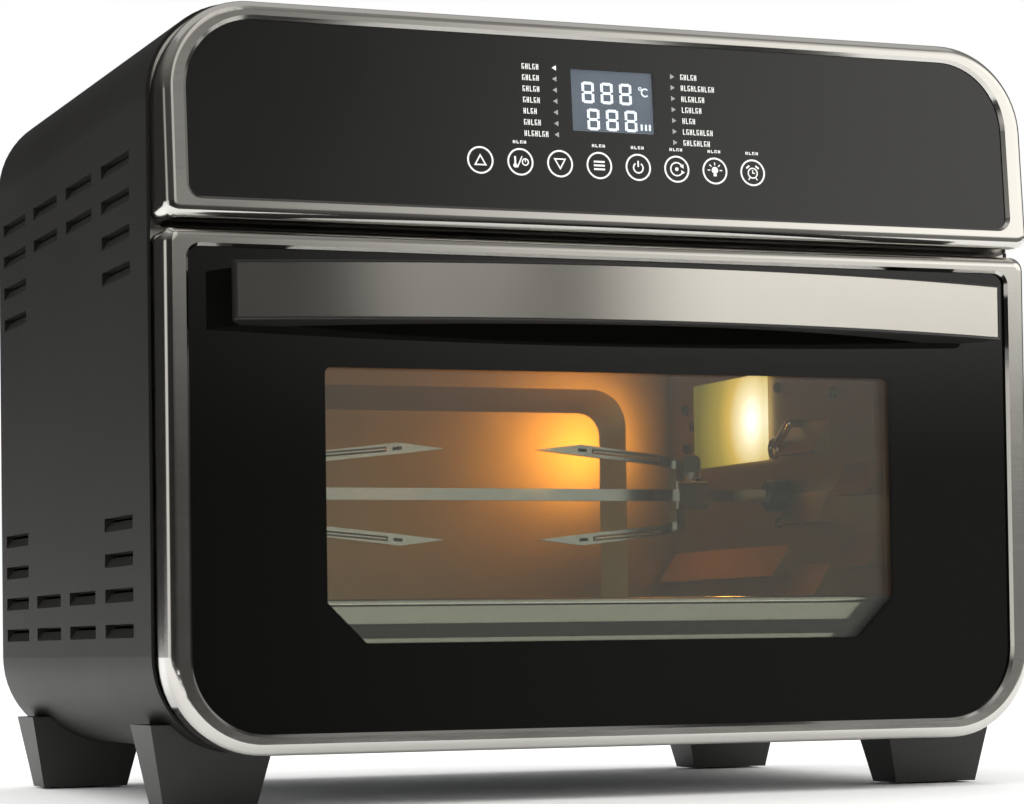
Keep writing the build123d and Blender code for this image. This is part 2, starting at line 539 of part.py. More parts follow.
def make_hinges():
    ear = side_profile([(6.6, 24.0), (6.6, 31.0), (24.0, 31.0), (24.0, 24.0)], -EAR_X[1], -EAR_X[0])
    ear = fillet(ear.edges().filter_by(Axis.X).sort_by(Axis.Y)[:2], 3.3)
    flange = block((-EAR_X[1] - 4, -EAR_X[0] + 8), (WALL_FRONT, WALL_FRONT + 1.6), (24.6, 42))
    gusset = block((-EAR_X[1], -EAR_X[0]), (WALL_FRONT, 44), (24.6, 34))
    bore_ends = [(x, HINGE_DEPTH, HINGE_HEIGHT) for x in (-EAR_X[1] - 1, 1 - EAR_X[0])]
    bracket = ear + flange + gusset - rod(*bore_ends, PIN_RADIUS + RUNNING)
    parts["hinge_bracket_left"] = bracket
    parts["hinge_bracket_right"] = mirrored(bracket)

    depth, height = ARM_PIVOT
    width = 3.0
    swing = Pos(0, at(depth), height) * Rot(ARM_ANGLE, 0, 0)
    strap = Pos(-sum(ARM_X) / 2, ARM_LENGTH / 2, 0) * Box(ARM_X[1] - ARM_X[0], ARM_LENGTH, 2 * width)
    arm = swing * strap + rod((-ARM_X[1], depth, height), (-ARM_X[0], depth, height), width)
    arm += rod((-ARM_X[0], depth, height), (-ARM_X[0] + 2.4, depth, height), PIN_RADIUS)
    tip = swing * (Pos(-ARM_X[1], ARM_LENGTH - 4, 0) * Rot(0, 90, 0) * Cylinder(1.6, 12))
    parts["hinge_arm_left"] = arm - tip
    parts["hinge_arm_right"] = mirrored(parts["hinge_arm_left"])


# ---------------------------------------------------------------- rotisserie

SPIT_HALF = 2.75
JOURNAL = 2.5
FORK_PLACES = (-95.0, 91.5)
TIP_REACH = 70.0


def fork():
    """A fork whose crossbar stands at x = 0 on the spit's axis and whose prongs point to -X."""
    thick, wide, shoulder = 1.6, 2.6, 22 - TIP_REACH
    root, tip = 15.5, 21.0
    prongs = []
    for side in (1, -1):
        outline = [(0, root - 3), (3, root + 1), (-8, root + 3.6), (shoulder, tip + wide),
                   (-TIP_REACH, tip), (shoulder, tip - wide), (-8, root - 1.2)]
        prongs.append(front_profile([(x, side * z) for x, z in outline], -thick, thick))
    bar = block((-0.5, 3.5), (-4, 4), (-root - 1, root + 1))
    hub = block((0, 15), (-6.5, 6.5), (-6.5, 6.5))
    hole = SPIT_HALF + 0.12
    shape = bar + prongs + fillet(hub.edges().filter_by(Axis.X), 2)
    shape -= block((-2, 20), (-hole, hole), (-hole, hole))
    return shape - rod((9, 0, 0), (9, 0, 12), 2.0 + RUNNING)


def make_rotisserie():
    place = Pos(0, SPIT_DEPTH, SPIT_HEIGHT)
    end, square, loose = 140.0, (-SPIT_HALF, SPIT_HALF), (-SPIT_HALF - RUNNING, SPIT_HALF + RUNNING)
    spit = block((-142, end + 6), square, square) + rod((-156, 0, 0), (-141, 0, 0), JOURNAL)
    parts["spit_shaft"] = place * spit
    socket = rod((end, 0, 0), (CAVITY_HALF + 3, 0, 0), 7.5)
    socket = fillet(socket.edges().sort_by(Axis.X)[0], 1.5)
    socket += rod((CAVITY_HALF + 2, 0, 0), (CAVITY_HALF + 14, 0, 0), SHAFT_RADIUS)
    parts["drive_socket"] = place * (socket - block((end - 1, end + 6.2), loose, loose))

    wall = -CAVITY_HALF
    bush = rod((wall - 6, 0, 0), (wall + 0.1, 0, 0), 6.0) + rod((wall, 0, 0), (wall + 2.5, 0, 0), 9.0)
    parts["spit_bearing"] = place * (bush - rod((wall - 10, 0, 0), (wall + 10, 0, 0), JOURNAL + RUNNING))

    start = CAVITY_HALF + 6.0
    motor = rod((start, 0, 0), (start + 20, 0, 0), 21.0)
    motor += block((start, start + 1.5), (-32, 32), (-6, 6))
    motor += [rod((CAVITY_HALF + SHEET, side * 28, 0), (start + 0.2, side * 28, 0), 3) for side in (-1, 1)]
    motor -= rod((start - 1, 0, 0), (start + 15, 0, 0), SHAFT_RADIUS + RUNNING)
    parts["rotisserie_motor"] = place * motor

    prongs = fork()
    thumb = rod((9, 0, SPIT_HALF + 0.3), (9, 0, 9), 2.0) + rod((9, 0, 8.5), (9, 0, 11), 4.5)
    thumb += fillet(block((4.3, 13.7), (-1, 1), (10.5, 19)).edges().filter_by(Axis.Y), 2.5)
    left, right = (Pos(x, 0, 0) * place for x in FORK_PLACES)
    parts["left_fork"], parts["left_fork_screw"] = left * mirrored(prongs), left * mirrored(thumb)
    parts["right_fork"], parts["right_fork_screw"] = right * prongs, right * thumb


# ---------------------------------------------------------------- fan, motor and electronics

def make_fan():
    centre = Pos(0, at(FAN_DEPTH), 0)

    def impeller(radius, height, thickness, blades, base):
        hub = Pos(0, 0, base) * Cylinder(11, height, align=BASE)
        disc = Pos(0, 0, base) * Cylinder(radius, thickness, align=BASE)
        blade = Pos(radius / 2 + 5, 0, base) * Rot(0, 0, 25) * Box(radius - 14, 1.2, height, align=BASE)
        vanes = [Rot(0, 0, 360 * turn / blades) * blade for turn in range(blades)]
        return centre * (hub + disc + vanes)

    bore = Pos(0, at(FAN_DEPTH), 200) * Cylinder(SHAFT_RADIUS, 200, align=BASE)
    parts["hot_air_fan"] = impeller(66, 12, 1.2, 10, 236.0) - bore
    parts["cooling_fan"] = impeller(44, 12, 1.2, 8, 300.0) - bore
    parts["fan_shaft"] = rod((0, FAN_DEPTH, 234), (0, FAN_DEPTH, 314), SHAFT_RADIUS)
    motor = rod((0, FAN_DEPTH, 268), (0, FAN_DEPTH, 294), 30)
    motor += block((-48, 48), (FAN_DEPTH - 12, FAN_DEPTH + 12), (268, 270))
    motor += [rod((x, FAN_DEPTH, POT_TOP), (x, FAN_DEPTH, 269), 4) for x in (-42, 42)]
    parts["fan_motor"] = motor - rod((0, FAN_DEPTH, 250), (0, FAN_DEPTH, 300), SHAFT_RADIUS + RUNNING)


def make_power_board():
    x, depth, height = (-149.0, -93.0), (90.0, 210.0), (241.0, 242.6)
    board = block(x, depth, height)
    items = [((-144, -112), (96, 128), 26), ((-108, -98), (100, 125), 14), ((-142, -124), (136, 160), 18),
             ((-118, -100), (140, 165), 18), ((-140, -110), (172, 186), 12), ((-140, -104), (192, 204), 16)]
    top = height[1]
    parts["power_board"] = board + [block(across, along, (top - 0.1, top + tall))
                                    for across, along, tall in items]
    corners = [(a, b) for a in (x[0] + 3, x[1] - 3) for b in (depth[0] + 3, depth[1] - 3)]
    parts["board_spacers"] = group([rod((a, b, CAVITY_TOP + SHEET), (a, b, height[0]), 2.5)
                                    for a, b in corners])


make_case()
make_rear_cover()
make_feet()
make_front_frame()
make_controls()
make_walls()
make_lamp()
make_probe()
make_heaters()
make_crumb_tray()
make_door()
make_handle()
make_hinges()
make_rotisserie()
make_fan()
make_power_board()

os.makedirs("parts", exist_ok=True)
for name, shape in parts.items():
    export_step(shape, f"parts/{name}.step")
print(len(parts), "nodes")
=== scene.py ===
# %% [markdown]
# Countertop air fryer oven.
# The engineering model is already there as the frame: every sheet, screw and shaft has its real size.
# This lesson gives it its looks. Each step says what a piece or a finish is on the real oven, how it
# could be made, and why it is made this way. Lengths are written in millimetres and turned to metres
# by the value MM, because a maker thinks in millimetres and Blender in metres.

# %% Load the frame
from math import atan2, cos, degrees, pi, radians, sin
import bmesh
import bpy
from mathutils import Matrix, Vector


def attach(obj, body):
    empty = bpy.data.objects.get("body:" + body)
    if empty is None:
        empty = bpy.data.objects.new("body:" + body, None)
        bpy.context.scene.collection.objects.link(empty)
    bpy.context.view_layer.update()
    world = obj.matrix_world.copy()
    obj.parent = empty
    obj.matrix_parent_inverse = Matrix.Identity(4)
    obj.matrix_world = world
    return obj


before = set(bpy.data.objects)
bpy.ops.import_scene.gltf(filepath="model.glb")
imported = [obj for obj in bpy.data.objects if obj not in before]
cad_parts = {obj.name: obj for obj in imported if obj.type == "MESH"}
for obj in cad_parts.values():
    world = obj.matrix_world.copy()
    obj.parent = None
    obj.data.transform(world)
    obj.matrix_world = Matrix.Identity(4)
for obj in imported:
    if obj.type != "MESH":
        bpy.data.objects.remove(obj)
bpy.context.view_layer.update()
MM = 0.001
FACE = -133.0    # the flat front of the case, along Y
bpy.context.scene.view_settings.view_transform = "Standard"


# %% [markdown]
# Small helpers.
# A colour is given as an sRGB hex value, but shaders add up light, so one function turns it
# linear. Every node of every finish is added by one function, which sets its values and its links.

# %% Colours and nodes
def linear(code):
    """An sRGB hex colour as linear red, green, blue and alpha."""
    parts = [int(code[start:start + 2], 16) / 255 for start in (0, 2, 4)]
    return tuple(c / 12.92 if c <= 0.04045 else ((c + 0.055) / 1.055) ** 2.4 for c in parts) + (1.0,)


print("middle grey is", round(linear("808080")[0], 3), "in linear light")


def add(tree, kind, inputs=None, **settings):
    """Adds a node: settings are its own properties, inputs are values or links for its sockets."""
    made = tree.nodes.new(kind)
    for name, value in settings.items():
        setattr(made, name, value)
    for socket, value in (inputs or {}).items():
        if isinstance(value, bpy.types.NodeSocket):
            tree.links.new(value, made.inputs[socket])
        else:
            made.inputs[socket].default_value = value
    return made


def new_finish(name, sockets):
    """A material with one shader; values that are the same all over sit on the shader's own sockets."""
    material = bpy.data.materials.new(name)
    material.use_nodes = True
    shader = material.node_tree.nodes["Principled BSDF"]
    for socket, value in sockets.items():
        shader.inputs[socket].default_value = value
    return material, material.node_tree, shader


# %% [markdown]
# Camera.
# A long lens from low down at the left makes the oven look solid and keeps its sides nearly parallel.
# The lens is shifted a little instead of tilted further, as a product photographer does it, so that
# the upright edges stay upright.

# %% Camera
def aim(yaw, pitch, roll):
    """A camera's turn: yaw from the +Y axis toward +X, pitch upward, then roll about the view."""
    a, b, c = radians(yaw), radians(pitch), radians(roll)
    forward = Vector((sin(a) * cos(b), cos(a) * cos(b), sin(b)))
    level = Vector((cos(a), -sin(a), 0))
    upward = level.cross(forward)
    right = level * cos(c) + upward * sin(c)
    top = upward * cos(c) - level * sin(c)
    return Matrix((right, top, -forward)).transposed().to_4x4()


lens = bpy.data.cameras.new("camera")
lens.lens, lens.sensor_width, lens.shift_y = 108.9, 36.0, 0.15
lens.clip_start, lens.clip_end = 0.05, 60.0
camera = bpy.data.objects.new("camera", lens)
bpy.context.scene.collection.objects.link(camera)
CAMERA_PLACE = Vector((-517.9, -1320.7, 63.7)) * MM
YAW, PITCH, ROLL = 21.51, 1.693, -0.823
camera.matrix_world = Matrix.Translation(CAMERA_PLACE) @ aim(YAW, PITCH, ROLL)
bpy.context.scene.camera = camera
print("camera", lens.lens, "mm, shift", lens.shift_y)


# %% [markdown]
# Floor and light.
# Polished steel and black glass show little but what they reflect, so what stands around the oven is
# as much a part of their look as the finish is. The floor is a white sheet that ends a little in front
# of the oven, so that the upright front mirrors the dark room and not the sheet.

# %% Floor
FLOOR_WIDE, FLOOR_DEEP, FLOOR_BACK = 30, 20.46, 9.75    # metres; its front edge is 0.48 m before the origin
bpy.ops.object.select_all(action="DESELECT")
bpy.ops.mesh.primitive_plane_add(size=1, location=(0, 0, 0))
floor = bpy.context.object
floor.name = "floor"
bpy.ops.object.mode_set(mode="EDIT")
bpy.ops.transform.resize(value=(FLOOR_WIDE, FLOOR_DEEP, 1))
bpy.ops.transform.translate(value=(0, FLOOR_BACK, 0))
bpy.ops.mesh.subdivide(number_cuts=6)
bpy.ops.object.mode_set(mode="OBJECT")
paper, tree, shader = new_finish("seamless_paper_matte", {"Roughness": 0.9, "Specular IOR Level": 0.1})
place = add(tree, "ShaderNodeTexCoord")
fibre = add(tree, "ShaderNodeTexNoise", {"Vector": place.outputs["Object"], "Scale": 220.0, "Detail": 3.0})
tone = add(tree, "ShaderNodeMix", {"Factor": fibre.outputs["Fac"], "A": linear("f8f8f7"),
                                   "B": linear("fdfdfc")}, data_type="RGBA")
tree.links.new(tone.outputs["Result"], shader.inputs["Base Color"])
floor.data.materials.append(paper)
print("floor", FLOOR_WIDE, "by", FLOOR_DEEP, "m")

# %% [markdown]
# The room is made of soft gradients instead of hard-edged panels, because a flat sheet of black glass
# would mirror the edge of a panel as a line. It is white where it lights matte surfaces. Where it is
# mirrored, it is nearly black straight ahead and grows bright to the right, as if a large window with
# a white blind stood there. A strip of light at the left draws a line down the rounded edges. A tall
# grey card straight ahead is mirrored only by the bowed handle, whose left end stays dark. What the
# cavity mirrors through the door is an even grey. A wide lamp overhead adds the shadow underneath.

# %% Overhead lamp
overhead = bpy.data.lights.new("overhead", "AREA")
overhead.shape, overhead.size, overhead.size_y = "RECTANGLE", 2.6, 2.2
overhead.energy = 6.0
overhead_lamp = bpy.data.objects.new("overhead", overhead)
bpy.context.scene.collection.objects.link(overhead_lamp)
overhead_lamp.location = (0, 0.2, 1.9)
print("overhead", overhead.energy, "W")

# %% Directions in the room
air = bpy.data.worlds.new("studio_air")
bpy.context.scene.world = air
air.use_nodes = True
sky = air.node_tree
sky.nodes.clear()
ray = add(sky, "ShaderNodeLightPath").outputs
way = add(sky, "ShaderNodeTexCoord").outputs["Generated"]
axes = add(sky, "ShaderNodeSeparateXYZ", {"Vector": way}).outputs
toward = {}    # how nearly a direction is level and points at the blind or the strip; 1 is exactly
for thing, side in (("blind", 60), ("strip", -80)):
    level = (sin(radians(side)), -cos(radians(side)), 0)    # degrees from straight ahead, right positive
    toward[thing] = add(sky, "ShaderNodeVectorMath", {0: way, 1: level},
                        operation="DOT_PRODUCT").outputs["Value"]
print("directions", list(toward))

# %% Gradients of the room
SOFT_STEPS = {    # what it goes by, from, to, and the brightness before and after
    "blind_side": (toward["blind"], 0.66, 0.86, 0.0, 1.6),
    "blind_height": (axes["Z"], 0.05, 0.17, 0.12, 1.0),
    "ceiling": (axes["Z"], 0.15, 0.8, 0.03, 0.3),
    "card_left": (axes["X"], -0.14, -0.09, 0.0, 1.0),
    "card_right": (axes["X"], 0.12, 0.3, 1.0, 0.0),
    "card_ahead": (axes["Y"], -0.6, -0.3, 1.0, 0.0),
    "card_height": (axes["Z"], 0.06, 0.24, 0.02, 0.65),
    "strip_side": (toward["strip"], 0.93, 0.995, 0.0, 0.9),
}
soft = {}
for name, (value, near, far, low, high) in SOFT_STEPS.items():
    soft[name] = add(sky, "ShaderNodeMapRange", {
        "Value": value, "From Min": near, "From Max": far, "To Min": low, "To Max": high},
        interpolation_type="SMOOTHSTEP").outputs["Result"]
blind = add(sky, "ShaderNodeMath", {0: soft["blind_side"], 1: soft["blind_height"], 2: soft["ceiling"]},
            operation="MULTIPLY_ADD")
card = soft["card_left"]
for part in ("card_right", "card_ahead", "card_height"):
    card = add(sky, "ShaderNodeMath", {0: card, 1: soft[part]}, operation="MULTIPLY").outputs["Value"]
room = card
for part in (blind.outputs["Value"], soft["strip_side"]):
    room = add(sky, "ShaderNodeMath", {0: room, 1: part}, operation="ADD").outputs["Value"]
print("gradients", list(soft))

# %% What each ray meets
DIFFUSE_EXTRA, THROUGH_GLASS = 0.5, 0.6
white = add(sky, "ShaderNodeMath", {0: ray["Is Diffuse Ray"], 1: DIFFUSE_EXTRA, 2: 1.0},
            operation="MULTIPLY_ADD")
pale = add(sky, "ShaderNodeBackground", {"Color": linear("ffffff"), "Strength": white.outputs["Value"]})
mirrored = add(sky, "ShaderNodeBackground", {"Color": linear("fffdf8"), "Strength": room})
through = add(sky, "ShaderNodeBackground", {"Color": linear("fbfaf4"), "Strength": THROUGH_GLASS})
matte = add(sky, "ShaderNodeMath", {0: ray["Is Camera Ray"], 1: ray["Is Diffuse Ray"]}, operation="MAXIMUM")
glossy = add(sky, "ShaderNodeMixShader", {0: ray["Is Transmission Ray"], 1: mirrored.outputs["Background"],
                                          2: through.outputs["Background"]})
seen = add(sky, "ShaderNodeMixShader", {0: matte.outputs["Value"], 1: glossy.outputs["Shader"],
                                        2: pale.outputs["Background"]})
add(sky, "ShaderNodeOutputWorld", {"Surface": seen.outputs["Shader"]})
print("room nodes", len(sky.nodes))


# %% [markdown]
# Powder coat.
# The wrapped case and the rear cover are steel with baked black powder. The powder melts into a fine
# orange peel of about half a millimetre, which breaks up the light into a soft satin. It could be
# sculpted, but a bump from noise costs nothing and holds at every distance.

# %% Powder coat
PEEL = 0.9   # mm between bumps; the real peel is about 0.5 mm, drawn coarser so that it shows
powder, tree, shader = new_finish("powder_coated_steel_black", {"IOR": 1.5, "Specular IOR Level": 0.25})
place = add(tree, "ShaderNodeTexCoord")
peel = add(tree, "ShaderNodeTexNoise", {"Vector": place.outputs["Object"], "Scale": 1 / (PEEL * MM),
                                        "Detail": 2.0})
cloud = add(tree, "ShaderNodeTexNoise", {"Vector": place.outputs["Object"], "Scale": 9.0, "Detail": 4.0})
tone = add(tree, "ShaderNodeMix", {"Factor": cloud.outputs["Fac"], "A": linear("171614"),
                                   "B": linear("201f1c")}, data_type="RGBA")
bump = add(tree, "ShaderNodeBump", {"Height": peel.outputs["Fac"], "Strength": 0.35, "Distance": 0.12 * MM})
gloss = add(tree, "ShaderNodeMapRange", {"Value": cloud.outputs["Fac"], "To Min": 0.42, "To Max": 0.56})
tree.links.new(tone.outputs["Result"], shader.inputs["Base Color"])
tree.links.new(gloss.outputs["Result"], shader.inputs["Roughness"])
tree.links.new(bump.outputs["Normal"], shader.inputs["Normal"])
print(powder.name, "peel", PEEL, "mm")

# %% [markdown]
# Steel.
# The same sheet comes in several surfaces. The bezel and the door frame are buffed, so they mirror
# the room with a slight haze. The handle strip is brushed along its length, so it blurs what it mirrors
# up and down but hardly sideways: that is its anisotropy, turned a quarter. The cavity is a satin
# sheet with a slight warm tint of its own; its strong straw yellow is the lamp's warm light painted
# into its colour. The hinges, brackets and thumb screws are zinc plated. Each one is the same small
# graph with other numbers: grain stretched along one axis gives roughness and bump.

# %% Steels
def steel(name, dark, light, rough, grain, stretch, depth, sockets=None):
    """Metal sheet: grain in mm across, stretched by these factors along X, Y and Z; depth in mm."""
    material, tree, shader = new_finish(name, {"Metallic": 1.0, **(sockets or {})})
    place = add(tree, "ShaderNodeTexCoord")
    along = add(tree, "ShaderNodeMapping", {"Vector": place.outputs["Object"],
                                            "Scale": [1 / (grain * MM * factor) for factor in stretch]})
    lines = add(tree, "ShaderNodeTexNoise", {"Vector": along.outputs["Vector"], "Scale": 1.0,
                                             "Detail": 3.0})
    wipe = add(tree, "ShaderNodeTexNoise", {"Vector": place.outputs["Object"], "Scale": 14.0,
                                            "Detail": 5.0})
    tone = add(tree, "ShaderNodeMix", {"Factor": wipe.outputs["Fac"], "A": linear(dark),
                                       "B": linear(light)}, data_type="RGBA")
    mixed = add(tree, "ShaderNodeMath", {0: lines.outputs["Fac"], 1: wipe.outputs["Fac"]}, operation="ADD")
    gloss = add(tree, "ShaderNodeMapRange", {"Value": mixed.outputs["Value"], "From Min": 0.6,
                                             "From Max": 1.4, "To Min": rough[0], "To Max": rough[1]})
    bump = add(tree, "ShaderNodeBump", {"Height": lines.outputs["Fac"], "Strength": 0.5,
                                        "Distance": depth * MM})
    tree.links.new(tone.outputs["Result"], shader.inputs["Base Color"])
    tree.links.new(gloss.outputs["Result"], shader.inputs["Roughness"])
    tree.links.new(bump.outputs["Normal"], shader.inputs["Normal"])
    return material


polished = steel("stainless_steel_buffed", "c6c4bf", "d2d0cb", (0.10, 0.17), 0.8, (30, 1, 1), 0.004)
brushed = steel("stainless_steel_brushed", "dcd8d0", "e6e3dc", (0.20, 0.26), 0.4, (120, 1, 1), 0.004,
                {"Anisotropic": 0.6, "Anisotropic Rotation": 0.25})
satin = steel("aluminised_steel_satin", "a09687", "b2a898", (0.27, 0.40), 0.7, (3, 1, 1), 0.02)
# The cavity walls: a slightly warm sheet whose strong straw yellow is painted lamplight.
tint_and_painted_lamplight = steel("aluminised_steel_tint_and_painted_lamplight", "a38c62", "b8a074", (0.30, 0.42), 0.7, (3, 1, 1), 0.01)
zinc = steel("steel_zinc_plated", "9c9fa2", "b4b7ba", (0.28, 0.42), 1.2, (1, 1, 1), 0.015)
chrome = steel("steel_wire_chrome_plated", "cfd0d0", "dcdddd", (0.08, 0.16), 1.5, (4, 1, 1), 0.01)
black_screw = steel("steel_blackened", "3a3937", "4a4947", (0.3, 0.45), 0.8, (1, 1, 1), 0.02)
sheath = steel("heater_sheath_oxidised", "37332e", "4c463d", (0.45, 0.6), 1.0, (4, 1, 1), 0.03)
motor_can = steel("motor_can_drawn", "8b8c8d", "9c9d9e", (0.3, 0.4), 0.6, (1, 1, 20), 0.01)
fan_sheet = steel("aluminium_pressed", "b9bbbd", "cccdce", (0.28, 0.4), 0.8, (1, 1, 1), 0.015)
bronze = steel("bronze_sintered", "8a6a3a", "a5824b", (0.4, 0.55), 0.4, (1, 1, 1), 0.03)
print("metals", ", ".join(metal.name for metal in (
    polished, brushed, satin, tint_and_painted_lamplight, zinc, chrome, black_screw, sheath, motor_can, fan_sheet, bronze)))

# %% [markdown]
# Pressed grooves of the forks.
# Each prong is stamped from sheet with a long groove for stiffness and a small hole behind its blade.
# The groove is a bump; the hole is not cut but is a near-black patch of painted shade.
# Both forks are alike and each has an upper and a lower prong, so the distances from the middle of the
# spit along it and across it, taken without their sign, describe all four prongs at once.

# %% Fork finish
FORK_MIDDLE, SPIT_HEIGHT = -1.75, 134.4
GROOVE_SLOPE, GROOVE_LINE = 0.09, 25.07      # the prong's middle: across + slope * along = line, in mm
GROOVE, HOLE = (52, 84, 0.9), (44.5, 47.5, 0.75)      # from and to along the prong, and half width, in mm

fork_steel = steel("steel_pressed_chrome_plated", "d2d2cf", "e2e2df", (0.12, 0.2), 1.2, (4, 1, 1), 0.01)
tree = fork_steel.node_tree
shader = tree.nodes["Principled BSDF"]
place = add(tree, "ShaderNodeTexCoord")
spit = (FORK_MIDDLE * MM, 0, SPIT_HEIGHT * MM)
centred = add(tree, "ShaderNodeVectorMath", {0: place.outputs["Object"], 1: spit}, operation="SUBTRACT")
folded = add(tree, "ShaderNodeVectorMath", {0: centred.outputs["Vector"]}, operation="ABSOLUTE")
axes = add(tree, "ShaderNodeSeparateXYZ", {"Vector": folded.outputs["Vector"]}).outputs
along, across = axes["X"], axes["Z"]
line = add(tree, "ShaderNodeMath", {0: along, 1: GROOVE_SLOPE, 2: across}, operation="MULTIPLY_ADD")
off = add(tree, "ShaderNodeMath", {0: line.outputs["Value"], 1: GROOVE_LINE * MM}, operation="SUBTRACT")
aside = add(tree, "ShaderNodeMath", {0: off.outputs["Value"]}, operation="ABSOLUTE").outputs["Value"]


def slot_edge(start, end, half):
    """How far a spot lies outside a square-ended slot on the prong's middle line."""
    before = add(tree, "ShaderNodeMath", {0: start * MM, 1: along}, operation="SUBTRACT").outputs["Value"]
    after = add(tree, "ShaderNodeMath", {0: along, 1: end * MM}, operation="SUBTRACT").outputs["Value"]
    past = add(tree, "ShaderNodeMath", {0: before, 1: after}, operation="MAXIMUM").outputs["Value"]
    most = add(tree, "ShaderNodeMath", {0: aside, 1: past}, operation="MAXIMUM").outputs["Value"]
    return add(tree, "ShaderNodeMath", {0: most, 1: half * MM}, operation="SUBTRACT").outputs["Value"]


groove = add(tree, "ShaderNodeMapRange", {"Value": slot_edge(*GROOVE), "From Min": -0.6 * MM,
                                          "From Max": 0.3 * MM}, interpolation_type="SMOOTHSTEP")
hole = add(tree, "ShaderNodeMath", {0: slot_edge(*HOLE), 1: 0.0}, operation="LESS_THAN")
press = add(tree, "ShaderNodeBump", {"Height": groove.outputs["Result"], "Strength": 1.0,
                                     "Distance": 1.4 * MM, "Normal": tree.nodes["Bump"].outputs["Normal"]})
tone = shader.inputs["Base Color"].links[0].from_socket
# The hole is not cut: a near-black patch is painted where it is, painted shade in place of the opening.
hole_painted_shade = add(tree, "ShaderNodeMix", {"Factor": hole.outputs["Value"], "A": tone, "B": linear("14110d")},
              data_type="RGBA")
tree.links.new(hole_painted_shade.outputs["Result"], shader.inputs["Base Color"])
tree.links.new(press.outputs["Normal"], shader.inputs["Normal"])
print(fork_steel.name, "groove", GROOVE[1] - GROOVE[0], "mm long")

# %% [markdown]
# Plastics, rubber and board.
# Feet, handle core and housings are moulded ABS: the mould is spark eroded, so the surface has a fine
# grain and a satin shine. Rubber and silicone are the same graph, duller and softer.

# %% Mouldings
def moulding(name, dark, light, rough, grain, depth, ior=1.5):
    """A moulded surface with an even grain, given in mm."""
    material, tree, shader = new_finish(name, {"IOR": ior})
    place = add(tree, "ShaderNodeTexCoord")
    spark = add(tree, "ShaderNodeTexNoise", {"Vector": place.outputs["Object"], "Scale": 1 / (grain * MM),
                                             "Detail": 3.0})
    cloud = add(tree, "ShaderNodeTexNoise", {"Vector": place.outputs["Object"], "Scale": 18.0,
                                             "Detail": 3.0})
    tone = add(tree, "ShaderNodeMix", {"Factor": cloud.outputs["Fac"], "A": linear(dark),
                                       "B": linear(light)}, data_type="RGBA")
    gloss = add(tree, "ShaderNodeMapRange", {"Value": spark.outputs["Fac"], "To Min": rough[0],
                                             "To Max": rough[1]})
    bump = add(tree, "ShaderNodeBump", {"Height": spark.outputs["Fac"], "Strength": 0.5,
                                        "Distance": depth * MM})
    tree.links.new(tone.outputs["Result"], shader.inputs["Base Color"])
    tree.links.new(gloss.outputs["Result"], shader.inputs["Roughness"])
    tree.links.new(bump.outputs["Normal"], shader.inputs["Normal"])
    return material


abs_black = moulding("abs_moulded_black", "171614", "1e1d1a", (0.38, 0.5), 0.8, 0.05)
rubber = moulding("rubber_moulded", "151514", "1b1b1a", (0.7, 0.85), 0.9, 0.05)
silicone = moulding("silicone_extruded", "1a1a19", "222221", (0.5, 0.6), 1.2, 0.03, 1.43)
board_green = moulding("circuit_board_solder_mask", "0d3a1d", "155028", (0.3, 0.4), 0.6, 0.02)
print("mouldings", abs_black.name, rubber.name, silicone.name, board_green.name)

# %% [markdown]
# Glass.
# The door glass is tempered and printed black from behind, except for the window: a rectangle with
# small round corners at the top and two cut corners at the bottom. The window is worked out from its
# distance to that outline, so that its edge stays sharp. The print is part of the same pane, so one
# shader goes from clear to black instead of a second sheet in front.

# %% Printed door glass
WINDOW_HALF, WINDOW_LOW, WINDOW_HIGH = 129.0, 66.1, 178.3
CORNER, CUT = 3.0, 16.5


def window_mask(tree, half, low, high, corner):
    """The spot, and how far it is outside a rectangle with round corners on the front, in metres."""
    place = add(tree, "ShaderNodeTexCoord")
    centre = add(tree, "ShaderNodeVectorMath", {0: place.outputs["Object"],
                                                1: (0, 0, (low + high) / 2 * MM)}, operation="SUBTRACT")
    flat = add(tree, "ShaderNodeVectorMath", {0: centre.outputs["Vector"], 1: (1, 0, 1)},
               operation="MULTIPLY")
    folded = add(tree, "ShaderNodeVectorMath", {0: flat.outputs["Vector"]}, operation="ABSOLUTE")
    inner = ((half - corner) * MM, 0, ((high - low) / 2 - corner) * MM)
    beyond = add(tree, "ShaderNodeVectorMath", {0: folded.outputs["Vector"], 1: inner}, operation="SUBTRACT")
    outside = add(tree, "ShaderNodeVectorMath", {0: beyond.outputs["Vector"], 1: (0, 0, 0)},
                  operation="MAXIMUM")
    reach = add(tree, "ShaderNodeVectorMath", {0: outside.outputs["Vector"]}, operation="LENGTH")
    edge = add(tree, "ShaderNodeMath", {0: reach.outputs["Value"], 1: corner * MM}, operation="SUBTRACT")
    return place, edge


door_glass, tree, shader = new_finish("tempered_glass_printed_black", {"IOR": 1.5, "Roughness": 0.015})
place, edge = window_mask(tree, WINDOW_HALF, WINDOW_LOW, WINDOW_HIGH, CORNER)
axes = add(tree, "ShaderNodeSeparateXYZ", {"Vector": place.outputs["Object"]})
side = add(tree, "ShaderNodeMath", {0: axes.outputs["X"]}, operation="ABSOLUTE")
slope = add(tree, "ShaderNodeMath", {0: side.outputs["Value"], 1: axes.outputs["Z"]}, operation="SUBTRACT")
cut = add(tree, "ShaderNodeMath", {0: slope.outputs["Value"], 1: (WINDOW_HALF - CUT - WINDOW_LOW) * MM},
          operation="SUBTRACT")
both = add(tree, "ShaderNodeMath", {0: edge.outputs["Value"], 1: cut.outputs["Value"]}, operation="MAXIMUM")
clear = add(tree, "ShaderNodeMath", {0: both.outputs["Value"], 1: 0.0}, operation="LESS_THAN")
smear = add(tree, "ShaderNodeTexNoise", {"Vector": place.outputs["Object"], "Scale": 11.0, "Detail": 4.0})
haze = add(tree, "ShaderNodeMapRange", {"Value": smear.outputs["Fac"], "To Min": 0.0, "To Max": 0.03})
